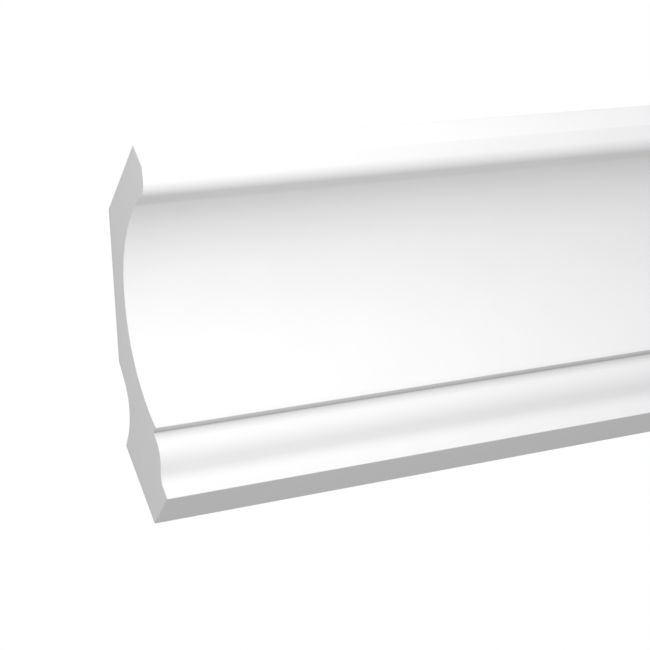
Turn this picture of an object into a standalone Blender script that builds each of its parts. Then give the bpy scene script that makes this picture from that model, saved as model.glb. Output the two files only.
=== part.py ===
"""Crown moulding length: one foam moulding, cut square at both ends.

Metres, +Z up. X runs along the wall, +Y points into the wall and -Y out into the room.
The origin is the centre of the flat face that lies against the wall.

The section is drawn in two coordinates: out, the distance from the wall into the room, and up, the
height above the bottom face. Headings are angles from the out direction, anticlockwise.
"""

from math import acos, ceil, cos, radians, sin, tan

import bmesh
import bpy
from mathutils import Matrix, Vector

# Overall
LENGTH = 1.0  # along the wall, between the two square cuts
DROP = 0.100  # down the wall, from the ceiling to the bottom face
PROJECTION = 0.0940  # along the ceiling, from the wall to the lip

# Faces that meet the building
WALL_FACE = 0.0338  # height of the flat that lies on the wall

# Bottom: a small fillet, then an ogee that comes forward to a step
BOTTOM_DEPTH = 0.0177
FILLET_HEIGHT = 0.0042
OGEE_LEAN = radians(50)  # of the ogee's steepest part, from upright
OGEE_HOLLOW_RADIUS = 0.0066
OGEE_FLAT = 0.0028  # the straight between the hollow and the round
OGEE_ROUND_RADIUS = 0.0118
SHADOW_FACE = 0.0025  # upright above the ogee, in the step's shadow
STEP = 0.0033  # how far the step stands out over it

# Cove: two arcs from the step upwards, and a short level run to the crease behind the roll
COVE_FOOT_LEAN = radians(7.2)  # the foot leans out over the step by this much
COVE_JOIN = radians(47)  # from upright, where the lower arc passes into the upper one
COVE_LEVEL = 0.0031  # length of the level run

# Roll and lip at the top, measured from the lip and from the ceiling
LIP_HEIGHT = 0.0100
BEVEL_LEAN = radians(38.5)  # from upright, under the lip
ROLL_RADIUS = 0.0062
ROLL_WIDTH = 0.0156  # from the lip back to the crease
ROLL_BACK_RISE = radians(13.5)  # from level, from the roll's underside back up to the crease
CREASE_DEPTH = 0.0147  # of the crease, below the ceiling

# Back: a flat that follows the cove, and a hollow over the wall face
BACK_LEAN = radians(42.2)  # from upright
BACK_WALL = 0.0097  # foam between the flat and the cove
FLANK_LEAN = radians(11)  # from upright, the hollow's side
FLANK_WALL = 0.0131  # foam between the hollow's side and the cove
HOLLOW_RADIUS = 0.0202
HOLLOW_FLOOR_RISE = radians(13.2)  # from level, going out from the wall face

# Finish
CHORD_ERROR = 0.00002  # how far an arc's chords may leave the arc
SOFT_EDGE_LIMIT = radians(11)  # edges that bend less than this are shaded smooth
PAINT = (0.87, 0.87, 0.86, 1.0)
PAINT_ROUGHNESS = 0.55

UPRIGHT = radians(90)
LEVEL_BACK = radians(180)


def direction(heading):
    return Vector((cos(heading), sin(heading)))


def arc(start, heading, radius, turn):
    """The points of an arc after start. A positive turn bends to the left."""
    side = 1 if turn > 0 else -1
    centre = start + side * radius * direction(heading + UPRIGHT)
    chords = ceil(abs(turn) / (2 * acos(1 - CHORD_ERROR / radius)))
    headings = (heading + turn * i / chords for i in range(1, chords + 1))
    return [centre - side * radius * direction(h + UPRIGHT) for h in headings]


def meeting(first, first_heading, second, second_heading):
    """Where the line through first meets the line through second."""
    normal = direction(second_heading + UPRIGHT)
    distance = (second - first).dot(normal) / direction(first_heading).dot(normal)
    return first + distance * direction(first_heading)


def rounded_corner(corner, heading, turn, radius):
    """The arc that rounds off a corner, with both of its ends."""
    start = corner - radius * tan(abs(turn) / 2) * direction(heading)
    return [start, *arc(start, heading, radius, turn)]


def bottom_section():
    """From the wall's low corner along the bottom and up the ogee to the step's outer corner."""
    front = Vector((BOTTOM_DEPTH, 0))
    points = [Vector((0, 0)), front, front + Vector((0, FILLET_HEIGHT))]
    points += arc(points[-1], UPRIGHT, OGEE_HOLLOW_RADIUS, -OGEE_LEAN)
    points.append(points[-1] + OGEE_FLAT * direction(UPRIGHT - OGEE_LEAN))
    points += arc(points[-1], UPRIGHT - OGEE_LEAN, OGEE_ROUND_RADIUS, OGEE_LEAN)
    points.append(points[-1] + Vector((0, SHADOW_FACE)))
    points.append(points[-1] + Vector((STEP, 0)))
    return points


def cove_radii(foot, crease):
    """The lower and upper radius with which the two arcs run from the foot to the level run.

    Along an arc the way out is radius * (cos first - cos last), and the way up is
    radius * (sin last - sin first), where the angles are leans from upright.
    """
    out, up = crease - Vector((COVE_LEVEL, 0)) - foot
    sums = Matrix(
        (
            (cos(COVE_FOOT_LEAN) - cos(COVE_JOIN), cos(COVE_JOIN)),
            (sin(COVE_JOIN) + sin(COVE_FOOT_LEAN), 1 - sin(COVE_JOIN)),
        )
    )
    return sums.inverted() @ Vector((out, up))


def cove_section(foot, crease):
    """The cove after its foot, ending level at the crease."""
    lower, upper = cove_radii(foot, crease)
    points = arc(foot, UPRIGHT + COVE_FOOT_LEAN, lower, -(COVE_JOIN + COVE_FOOT_LEAN))
    points += arc(points[-1], UPRIGHT - COVE_JOIN, upper, COVE_JOIN - UPRIGHT)
    return [*points, crease]


def lip_section(crease):
    """From behind the roll, under it and up the lip to the front corner of the ceiling face."""
    lip_foot = Vector((PROJECTION, DROP - LIP_HEIGHT))
    bevel = UPRIGHT - BEVEL_LEAN
    corner = meeting(crease, -ROLL_BACK_RISE, lip_foot, bevel)
    roll = rounded_corner(corner, -ROLL_BACK_RISE, bevel + ROLL_BACK_RISE, ROLL_RADIUS)
    return [*roll, lip_foot, Vector((PROJECTION, DROP))]


def behind_cove(foot, crease, lean, wall):
    """A point on the line behind the cove that leans by this much and leaves this much foam."""
    lower, _ = cove_radii(foot, crease)
    thinnest = arc(foot, UPRIGHT + COVE_FOOT_LEAN, lower, -(lean + COVE_FOOT_LEAN))[-1]
    return thinnest + wall * direction(LEVEL_BACK - lean)


def back_section(foot, crease):
    """From the back corner of the ceiling face down the flat and round the hollow to the wall face."""
    flat = behind_cove(foot, crease, BACK_LEAN, BACK_WALL)
    flank = behind_cove(foot, crease, FLANK_LEAN, FLANK_WALL)
    wall_top = Vector((0, WALL_FACE))
    flat_down = -UPRIGHT - BACK_LEAN
    flank_down = -UPRIGHT - FLANK_LEAN
    floor_back = HOLLOW_FLOOR_RISE - LEVEL_BACK
    ceiling_corner = meeting(Vector((0, DROP)), 0, flat, flat_down)
    shoulder = meeting(flat, flat_down, flank, flank_down)
    corner = meeting(flank, flank_down, wall_top, floor_back)
    hollow = rounded_corner(corner, flank_down, floor_back - flank_down, HOLLOW_RADIUS)
    return [ceiling_corner, shoulder, *hollow, wall_top]


def section():
    """The whole outline, anticlockwise seen with the room to the right."""
    bottom = bottom_section()
    foot = bottom[-1]
    crease = Vector((PROJECTION - ROLL_WIDTH, DROP - CREASE_DEPTH))
    return [
        *bottom,
        *cove_section(foot, crease),
        *lip_section(crease),
        *back_section(foot, crease),
    ]


def paint_material():
    material = bpy.data.materials.new("white_primer")
    material.use_nodes = True
    shader = material.node_tree.nodes["Principled BSDF"]
    shader.inputs["Base Color"].default_value = PAINT
    shader.inputs["Roughness"].default_value = PAINT_ROUGHNESS
    shader.inputs["Metallic"].default_value = 0.0
    return material


def crown_moulding():
    """The section, drawn at the left cut and extruded along the wall."""
    bm = bmesh.new()
    corners = [
        bm.verts.new((-LENGTH / 2, -out, up - WALL_FACE / 2)) for out, up in section()
    ]
    left_cut = bm.faces.new(corners)
    extruded = bmesh.ops.extrude_face_region(bm, geom=[left_cut], use_keep_orig=True)
    right_end = [v for v in extruded["geom"] if isinstance(v, bmesh.types.BMVert)]
    bmesh.ops.translate(bm, vec=(LENGTH, 0, 0), verts=right_end)
    bmesh.ops.recalc_face_normals(bm, faces=bm.faces)
    mesh = bpy.data.meshes.new("crown_moulding")
    bm.to_mesh(mesh)
    bm.free()
    mesh.shade_smooth()
    mesh.set_sharp_from_angle(angle=SOFT_EDGE_LIMIT)
    mesh.materials.append(paint_material())
    return bpy.data.objects.new("crown_moulding", mesh)


for old in list(bpy.data.objects):
    bpy.data.objects.remove(old, do_unlink=True)
bpy.context.scene.collection.objects.link(crown_moulding())
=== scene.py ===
"""A crown moulding length as it hangs: matt white primer over moulded foam, sawn square at both ends.

Metres, +Z up. X runs along the wall, +Y points into the wall and -Y out into the room. A section is
drawn in two coordinates, out = -Y and up = Z, and is closed anticlockwise.
"""

from math import cos, radians, sin, tan

import bmesh
import bpy
import numpy as np
from mathutils import Matrix, Vector
from mathutils.geometry import delaunay_2d_cdt


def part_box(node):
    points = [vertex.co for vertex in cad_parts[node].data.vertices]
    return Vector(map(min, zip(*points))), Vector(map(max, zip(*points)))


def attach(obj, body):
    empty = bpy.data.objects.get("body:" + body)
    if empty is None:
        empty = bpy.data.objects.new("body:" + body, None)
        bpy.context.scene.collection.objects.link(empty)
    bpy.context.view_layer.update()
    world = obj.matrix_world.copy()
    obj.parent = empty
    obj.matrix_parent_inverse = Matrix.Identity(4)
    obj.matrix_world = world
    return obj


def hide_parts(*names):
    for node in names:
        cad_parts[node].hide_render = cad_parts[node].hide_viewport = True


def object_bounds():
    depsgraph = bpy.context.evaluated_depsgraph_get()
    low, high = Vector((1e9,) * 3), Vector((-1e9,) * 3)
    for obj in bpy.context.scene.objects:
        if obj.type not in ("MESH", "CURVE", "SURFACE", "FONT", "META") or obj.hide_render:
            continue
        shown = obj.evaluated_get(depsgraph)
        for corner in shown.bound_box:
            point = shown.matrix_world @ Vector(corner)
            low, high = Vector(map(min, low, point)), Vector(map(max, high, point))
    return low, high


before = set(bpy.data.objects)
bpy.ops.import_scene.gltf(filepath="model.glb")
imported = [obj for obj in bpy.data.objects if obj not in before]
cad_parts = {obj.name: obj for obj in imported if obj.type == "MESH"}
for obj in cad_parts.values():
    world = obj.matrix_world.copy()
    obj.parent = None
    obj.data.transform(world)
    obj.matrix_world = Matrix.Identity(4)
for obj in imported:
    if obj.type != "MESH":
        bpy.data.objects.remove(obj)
cad_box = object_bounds()

NODE = "crown_moulding"

# Edges
MOULDED_EASE = 0.00025  # radius of the moulded edges and corners
SAWN_EASE = 0.00012  # rounding where a cut meets the skin
CORNER_LIMIT = radians(11)  # a bend of more than this is a corner, less belongs to a curve
CREASE_EASE = 0.008  # radius of the soft crease behind the roll
CREASE_LIMIT = radians(20)  # an inner corner that bends less than this is that crease
EASE_CHORDS = 4
EASE_SHARE = 0.9  # a rounding takes up at most this share of each side of its corner
STATION_SPACING = 0.02  # along the wall
FLAT_WEIGHT = 100  # the most, so that the wide faces settle the shading at the eased edges

# Painted shade in the corner under the step: the primer's colour is darkened there to stand in for
# the shade that the step's overhang casts
PAINTED_SHADE_CORNER_LIMIT = radians(60)  # an inner corner that bends more than this
PAINTED_SHADE_REACH = 0.004  # how far from that corner the painted shade reaches
PAINTED_SHADE_CURVE = 0.35  # below 1, most of the change is close to the corner
PAINTED_SHADE_TONE = 0.45  # of the full white, in the corner itself, where the painted shade is darkest
PAINTED_SHADE_DISTANCE = "painted_shade_distance"  # how far a point of the skin is from that corner

# Square cuts
SKIN_DEPTHS = (0.0003, 0.0006, 0.0009)  # the foam's denser skin, under the primer, fades over these
ROW_SHARE = 0.98  # a row keeps the points that lie at least this share of its depth inside
CUT_MESH = 0.0016  # spacing of the mesh points inside
GRID_GAP = CUT_MESH / 3  # between the deepest row and those points, at least
MERGE_MM = 0.000001  # points of a cut that are closer than this are one
INSIDE_ONLY = 1  # the triangulation leaves out what lies outside its border
RIM = "rim"  # how far a point of a cut is from the skin

# Materials of the skin, by their slots
FACE, CUT, BACK = range(3)
BACK_FACING = 0.5  # a side whose outward direction points this much up or to the wall is the back's

# Noise
NOISE_MIDDLE = (0.35, 0.65)  # where most of a noise's values lie
NOISE_DETAIL = 2.0

# Primer on the face
PRIMER_WHITE = (0.795, 0.805)
PRIMER_WHITE_PATCH = 0.035
PRIMER_ROUGHNESS = (0.50, 0.60)
PRIMER_ROUGH_PATCH = 0.012
ORANGE_PEEL_SIZE = 0.0016
ORANGE_PEEL_DEPTH = 0.000010
PRIMER_GRAIN_SIZE = 0.0003
PRIMER_GRAIN_DEPTH = 0.000003

# Back
BACK_WHITE = (0.77, 0.80)
BACK_WHITE_PATCH = 0.02
BACK_ROUGHNESS = (0.60, 0.75)
BACK_ROUGH_PATCH = 0.008
STREAK_SIZE = 0.002
STREAK_STRETCH = (30, 1, 1)  # along the wall
STREAK_DEPTH = 0.000030
BACK_GRAIN_SIZE = 0.0008
BACK_GRAIN_DEPTH = 0.000015

# Sawn foam
FOAM_WHITE = (0.775, 0.815)  # in a cell's middle, and on its walls
FOAM_ROUGHNESS = (0.6, 0.9)  # at the skin, and in the open foam
CELL_SIZE = 0.00035
CELL_WALL = 0.8  # of a cell's size, the distance from its middle where the wall is at full height
CELL_DEPTH = 0.000020
SAW_MARK_SIZE = 0.0012
SAW_MARK_STRETCH = (1, 40, 1)  # across the cut
SAW_MARK_DEPTH = 0.000008

# Camera, from the low wall corner of the left cut
CAMERA_ALONG = -0.244046
CAMERA_OUT = 0.549228
CAMERA_BELOW = 0.266245
CAMERA_TURN = radians(32.158)  # to the right of straight at the wall
CAMERA_RISE = radians(27.695)  # above level
CAMERA_ROLL = radians(24.018)
LENS_MM = 99.365
SENSOR_MM = 36.0

# Studio lights, soft discs round the left end
LIT_PLACE = Vector((-0.39, -0.05, 0.03))
LIGHTS = {  # degrees to the left of straight out, degrees above level, distance, diameter, watts
    "key": (25, -8, 0.45, 0.2, 1.00),
    "front": (-15, -8, 0.50, 0.2, 0.45),
    "far_key": (25, 0, 0.70, 0.25, 0.21),
    "low_fill": (25, -30, 0.60, 0.3, 0.23),
}
SKY = 0.593  # brightness of the white all round, as it lights the moulding
SKY_SEEN = 1.0  # and as the camera sees it

# Floor
FLOOR_BELOW = 3.3  # under the moulding's bottom face
FLOOR_SIDE = 40.0
FLOOR_WHITE = (0.79, 0.81)
FLOOR_PATCH = 1.5
FLOOR_ROUGHNESS = 0.6


def sides(points):
    """The start and end of each side of a closed outline."""
    return zip(points, points[1:] + points[:1])


def with_neighbours(points):
    """Each point of a closed outline, between the one before it and the one after it."""
    return zip(points[-1:] + points[:-1], points, points[1:] + points[:1])


def left_cut(node):
    """The corners of the node's left cut in order, as Vector((out, up)), anticlockwise."""
    mesh = node.data
    left = min(v.co.x for v in mesh.vertices)
    following = {}
    for polygon in mesh.polygons:
        corners = [mesh.vertices[i].co for i in polygon.vertices]
        at_cut = [abs(c.x - left) < SAWN_EASE for c in corners]
        if sum(at_cut) != 2:
            continue
        for i, corner in enumerate(corners):
            after = (i + 1) % len(corners)
            if at_cut[i] and at_cut[after]:
                following[place(corner)] = corners[after]
    start = next(iter(following.values()))
    outline = [start]
    while place(following[place(outline[-1])]) != place(start):
        outline.append(following[place(outline[-1])])
    points = [Vector((-c.y, c.z)) for c in outline]
    return points if doubled_area(points) > 0 else points[::-1]


def place(corner):
    """A corner's place in the section, to a micrometre, so that the same corners compare equal."""
    return round(corner.y, 6), round(corner.z, 6)


def doubled_area(points):
    """Twice the area inside a closed outline, positive where it runs anticlockwise."""
    return sum(a.x * b.y - b.x * a.y for a, b in sides(points))


def eased(points):
    """The outline with each corner rounded off, and its curves as they were."""
    result = []
    for before, corner, after in with_neighbours(points):
        coming = corner - before
        going = after - corner
        turn = coming.angle_signed(going)  # clockwise, so it is positive at an inner corner
        if abs(turn) < CORNER_LIMIT:
            result.append(corner)
        elif 0 < turn < CREASE_LIMIT:
            result += rounding(corner, coming, going, CREASE_EASE)
        else:
            result += rounding(corner, coming, going, MOULDED_EASE)
    return result


def rounding(corner, coming, going, radius):
    """Points on the arc that touches both sides of a corner, tighter where a side is short."""
    turn = coming.angle(going)
    reach = min(radius * tan(turn / 2), EASE_SHARE * coming.length, EASE_SHARE * going.length)
    start = corner - reach * coming.normalized()
    end = corner + reach * going.normalized()
    inward = (going.normalized() - coming.normalized()).normalized()
    centre = corner + reach / sin(turn / 2) * inward
    first = start - centre
    last = end - centre
    angle = first.angle(last)
    spread = [i / EASE_CHORDS for i in range(EASE_CHORDS + 1)]
    return [
        centre + (first * sin((1 - share) * angle) + last * sin(share * angle)) / sin(angle)
        for share in spread
    ]


def painted_shade_corners(points):
    """The sharp inner corners, near which shade is painted into the primer's colour."""
    return [
        corner
        for before, corner, after in with_neighbours(points)
        if (corner - before).angle_signed(after - corner) > PAINTED_SHADE_CORNER_LIMIT
    ]


def faces_back(start, end):
    """True for a side of the outline that points up to the ceiling or back to the wall."""
    along = (end - start).normalized()
    return along.y < -BACK_FACING or -along.x > BACK_FACING


def inset(points, distance):
    """The outline moved inwards by this distance."""
    result = []
    for before, point, after in with_neighbours(points):
        first = (point - before).normalized()
        second = (after - point).normalized()
        normal = Vector((-first.y - second.y, first.x + second.x)).normalized()
        result.append(point + distance * normal)
    return result


def depths(places, outline):
    """How deep each place lies inside the outline, negative outside it."""
    places = np.array(places)[:, None]
    start = np.array(outline)[None]
    end = np.roll(start, -1, axis=1)
    along = end - start
    share = ((places - start) * along).sum(axis=2) / (along**2).sum(axis=2)
    nearest = start + np.clip(share, 0, 1)[:, :, None] * along
    distance = np.linalg.norm(places - nearest, axis=2).min(axis=1)
    over = (start[..., 1] > places[..., 1]) != (end[..., 1] > places[..., 1])
    rise = np.where(along[..., 1] == 0, 1, along[..., 1])
    crossing = start[..., 0] + (places[..., 1] - start[..., 1]) / rise * along[..., 0]
    inside = (over & (places[..., 0] < crossing)).sum(axis=1) % 2 == 1
    return np.where(inside, distance, -distance)


def cut_points(outline):
    """Points inside the outline: three rows along the skin, and a grid further in."""
    inner = []
    for depth in SKIN_DEPTHS:
        row = inset(outline, depth)
        inner += [p for p, d in zip(row, depths(row, outline)) if d > ROW_SHARE * depth]
    low = [min(p[i] for p in outline) for i in (0, 1)]
    high = [max(p[i] for p in outline) for i in (0, 1)]
    grid = [
        Vector((out, up))
        for out in np.arange(low[0], high[0], CUT_MESH)
        for up in np.arange(low[1], high[1], CUT_MESH)
    ]
    deep = SKIN_DEPTHS[-1] + GRID_GAP
    inner += [p for p, d in zip(grid, depths(grid, outline)) if d > deep]
    return inner


def stations(outline, sawn):
    """The outline at even places along the wall, and the sawn outline at both cuts."""
    low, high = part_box(NODE)
    first = low.x + SAWN_EASE
    last = high.x - SAWN_EASE
    spans = round((high.x - low.x) / STATION_SPACING)
    between = [(first + (last - first) * i / spans, outline) for i in range(spans + 1)]
    return [(low.x, sawn), *between, (high.x, sawn)]


def add_skin(bm, rings, outline):
    """The smooth faces from each ring to the next."""
    slots = [BACK if faces_back(start, end) else FACE for start, end in sides(outline)]
    for first, second in zip(rings, rings[1:]):
        for i, slot in enumerate(slots):
            after = (i + 1) % len(slots)
            face = bm.faces.new((first[i], first[after], second[after], second[i]))
            face.smooth = True
            face.material_index = slot


def add_cuts(bm, rings, sawn, rim):
    """The two flat cuts, in triangles whose points hold how far they are from the skin."""
    inner = cut_points(sawn)
    inner_depths = depths(inner, sawn)
    millimetres = [1000 * p for p in sawn + inner]
    border = [(i, (i + 1) % len(sawn)) for i in range(len(sawn))]
    triangles = delaunay_2d_cdt(millimetres, border, [], INSIDE_ONLY, MERGE_MM)[2]
    for ring in (rings[0], rings[-1]):
        added = [bm.verts.new((ring[0].co.x, -p.x, p.y)) for p in inner]
        for vertex, depth in zip(added, inner_depths):
            vertex[rim] = depth
        corners = ring + added
        for triangle in triangles:
            bm.faces.new([corners[i] for i in triangle]).material_index = CUT


def moulding(node):
    """One closed skin on the node's outline, eased at its edges and finely meshed at its cuts."""
    corners = left_cut(node)
    outline = eased(corners)
    sawn = inset(outline, SAWN_EASE)
    # how far each point of the skin is from a sharp inner corner, for the painted shade under the
    # step
    shaded_corners = painted_shade_corners(corners)
    from_shaded_corner = [min((point - corner).length for corner in shaded_corners) for point in outline]
    bm = bmesh.new()
    rim = bm.verts.layers.float.new(RIM)
    painted_shade_distance = bm.verts.layers.float.new(PAINTED_SHADE_DISTANCE)
    rings = [
        [bm.verts.new((x, -point.x, point.y)) for point in points]
        for x, points in stations(outline, sawn)
    ]
    for ring in rings:
        for vertex, distance in zip(ring, from_shaded_corner):
            vertex[painted_shade_distance] = distance
    add_skin(bm, rings, outline)
    add_cuts(bm, rings, sawn, rim)
    bmesh.ops.recalc_face_normals(bm, faces=bm.faces)
    mesh = bpy.data.meshes.new("moulding_skin")
    bm.to_mesh(mesh)
    bm.free()
    piece = bpy.data.objects.new("moulding_skin", mesh)
    bpy.context.scene.collection.objects.link(piece)
    weighted = piece.modifiers.new("flat faces stay flat", "WEIGHTED_NORMAL")
    weighted.weight = FLAT_WEIGHT
    return piece


class Finish:
    """A material built from layers, in the piece's own coordinates."""

    def __init__(self, name):
        self.material = bpy.data.materials.new(name)
        self.material.use_nodes = True
        self.tree = self.material.node_tree
        self.shader = self.tree.nodes["Principled BSDF"]
        self.place = self.tree.nodes.new("ShaderNodeTexCoord").outputs["Object"]
        self.normal = None

    def link(self, output, to):
        self.tree.links.new(output, to)

    def noise(self, size, stretch=(1, 1, 1)):
        """Noise whose features are about this many metres across, drawn out by the stretch."""
        mapping = self.tree.nodes.new("ShaderNodeMapping")
        mapping.inputs["Scale"].default_value = [1 / (size * by) for by in stretch]
        self.link(self.place, mapping.inputs["Vector"])
        node = self.tree.nodes.new("ShaderNodeTexNoise")
        node.inputs["Scale"].default_value = 1.0
        node.inputs["Detail"].default_value = NOISE_DETAIL
        self.link(mapping.outputs["Vector"], node.inputs["Vector"])
        return node.outputs["Fac"]

    def patches(self, size, target):
        """Soft patches of about this size, between the two values of the target."""
        return self.remap(self.noise(size), NOISE_MIDDLE, target)

    def cells(self, size):
        """Height over foam cells of about this size: 0 in the middle, 1 at the walls."""
        node = self.tree.nodes.new("ShaderNodeTexVoronoi")
        node.inputs["Scale"].default_value = 1 / size
        self.link(self.place, node.inputs["Vector"])
        return self.remap(node.outputs["Distance"], (0, CELL_WALL), (0, 1))

    def attribute(self, name):
        node = self.tree.nodes.new("ShaderNodeAttribute")
        node.attribute_name = name
        return node.outputs["Fac"]

    def remap(self, value, source, target):
        node = self.tree.nodes.new("ShaderNodeMapRange")
        node.inputs["From Min"].default_value, node.inputs["From Max"].default_value = source
        node.inputs["To Min"].default_value, node.inputs["To Max"].default_value = target
        self.link(value, node.inputs["Value"])
        return node.outputs["Result"]

    def product(self, first, second):
        node = self.tree.nodes.new("ShaderNodeMath")
        node.operation = "MULTIPLY"
        self.link(first, node.inputs[0])
        self.link(second, node.inputs[1])
        return node.outputs["Value"]

    def power(self, value, exponent):
        node = self.tree.nodes.new("ShaderNodeMath")
        node.operation = "POWER"
        self.link(value, node.inputs[0])
        node.inputs[1].default_value = exponent
        return node.outputs["Value"]

    def grey(self, value):
        self.link(value, self.shader.inputs["Base Color"])

    def roughness(self, value):
        self.link(value, self.shader.inputs["Roughness"])

    def relief(self, height, depth):
        """A bump of this depth, laid over those before it."""
        node = self.tree.nodes.new("ShaderNodeBump")
        node.inputs["Distance"].default_value = depth
        self.link(height, node.inputs["Height"])
        if self.normal:
            self.link(self.normal, node.inputs["Normal"])
        self.normal = node.outputs["Normal"]
        self.link(self.normal, self.shader.inputs["Normal"])


def primer():
    """Sprayed matt primer: a faint orange peel and grain, with shade painted into its colour under
    the step.
    """
    finish = Finish("white_primer")
    white = finish.patches(PRIMER_WHITE_PATCH, PRIMER_WHITE)
    # painted shade: the primer's colour darkens towards the sharp inner corner under the step
    openness = finish.remap(finish.attribute(PAINTED_SHADE_DISTANCE), (0, PAINTED_SHADE_REACH), (0, 1))
    coat = finish.remap(finish.power(openness, PAINTED_SHADE_CURVE), (0, 1), (PAINTED_SHADE_TONE, 1))
    finish.grey(finish.product(white, coat))
    finish.roughness(finish.patches(PRIMER_ROUGH_PATCH, PRIMER_ROUGHNESS))
    finish.relief(finish.noise(ORANGE_PEEL_SIZE), ORANGE_PEEL_DEPTH)
    finish.relief(finish.noise(PRIMER_GRAIN_SIZE), PRIMER_GRAIN_DEPTH)
    return finish.material


def sawn_foam():
    """A sawn end: fine open cells and faint saw marks, closing up to a dense skin at the edge."""
    finish = Finish("sawn_foam")
    openness = finish.remap(finish.attribute(RIM), (0, SKIN_DEPTHS[-1]), (0, 1))
    walls = finish.cells(CELL_SIZE)
    finish.grey(finish.remap(walls, (0, 1), FOAM_WHITE))
    finish.roughness(finish.remap(openness, (0, 1), FOAM_ROUGHNESS))
    finish.relief(finish.noise(SAW_MARK_SIZE, SAW_MARK_STRETCH), SAW_MARK_DEPTH)
    finish.relief(finish.product(walls, openness), CELL_DEPTH)
    return finish.material


def moulded_back():
    """The back, as it leaves the mould under a thinner coat: a bit rougher, with faint streaks."""
    finish = Finish("moulded_back")
    finish.grey(finish.patches(BACK_WHITE_PATCH, BACK_WHITE))
    finish.roughness(finish.patches(BACK_ROUGH_PATCH, BACK_ROUGHNESS))
    finish.relief(finish.noise(STREAK_SIZE, STREAK_STRETCH), STREAK_DEPTH)
    finish.relief(finish.noise(BACK_GRAIN_SIZE), BACK_GRAIN_DEPTH)
    return finish.material


def pale_floor(height):
    """A plain pale floor at this height, with faint clouds."""
    half = FLOOR_SIDE / 2
    corners = [(-half, -half, 0), (half, -half, 0), (half, half, 0), (-half, half, 0)]
    finish = Finish("pale_floor")
    finish.grey(finish.patches(FLOOR_PATCH, FLOOR_WHITE))
    finish.shader.inputs["Roughness"].default_value = FLOOR_ROUGHNESS
    mesh = bpy.data.meshes.new("floor")
    mesh.from_pydata(corners, [], [(0, 1, 2, 3)])
    mesh.materials.append(finish.material)
    floor = bpy.data.objects.new("floor", mesh)
    floor.location.z = height
    bpy.context.scene.collection.objects.link(floor)
    return floor


def photo_camera(corner):
    """The photo's view, with the camera placed from the low wall corner of the left cut."""
    camera = bpy.data.objects.new("camera", bpy.data.cameras.new("camera"))
    camera.data.lens = LENS_MM
    camera.data.sensor_width = SENSOR_MM
    upright = Matrix.Rotation(radians(90), 3, "X")
    rise = Matrix.Rotation(CAMERA_RISE, 3, "X")
    turn = Matrix.Rotation(-CAMERA_TURN, 3, "Z")
    roll = Matrix.Rotation(-CAMERA_ROLL, 3, "Z")
    camera.matrix_world = (turn @ rise @ upright @ roll).to_4x4()
    camera.location = corner + Vector((CAMERA_ALONG, -CAMERA_OUT, -CAMERA_BELOW))
    bpy.context.scene.collection.objects.link(camera)
    return camera


def studio_light(name, left, rise, distance, diameter, watts):
    """A soft disc that shines on the lit place and that the camera doesn't see."""
    data = bpy.data.lights.new(name, "AREA")
    data.shape = "DISK"
    data.size = diameter
    data.energy = watts
    light = bpy.data.objects.new(name, data)
    left, rise = radians(left), radians(rise)
    toward = Vector((-sin(left) * cos(rise), -cos(left) * cos(rise), sin(rise)))
    light.location = LIT_PLACE + distance * toward
    light.rotation_euler = toward.to_track_quat("Z", "Y").to_euler()
    light.visible_camera = False
    bpy.context.scene.collection.objects.link(light)


def studio_world():
    """White all round to the camera, and a dimmer fill on the moulding."""
    world = bpy.data.worlds.new("studio")
    world.use_nodes = True
    tree = world.node_tree
    background = tree.nodes["Background"]
    background.inputs["Color"].default_value = (1, 1, 1, 1)
    seen = tree.nodes.new("ShaderNodeLightPath")
    strength = tree.nodes.new("ShaderNodeMix")
    strength.inputs["A"].default_value = SKY
    strength.inputs["B"].default_value = SKY_SEEN
    tree.links.new(seen.outputs["Is Camera Ray"], strength.inputs["Factor"])
    tree.links.new(strength.outputs["Result"], background.inputs["Strength"])
    return world


piece = moulding(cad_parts[NODE])
for material in (primer(), sawn_foam(), moulded_back()):
    piece.data.materials.append(material)
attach(piece, "root")
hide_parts(NODE)

low, high = cad_box
floor = pale_floor(low.z - FLOOR_BELOW)

bpy.context.scene.camera = photo_camera(Vector((low.x, high.y, low.z)))
for name, setting in LIGHTS.items():
    studio_light(name, *setting)
bpy.context.scene.world = studio_world()
bpy.context.scene.view_settings.view_transform = "Standard"
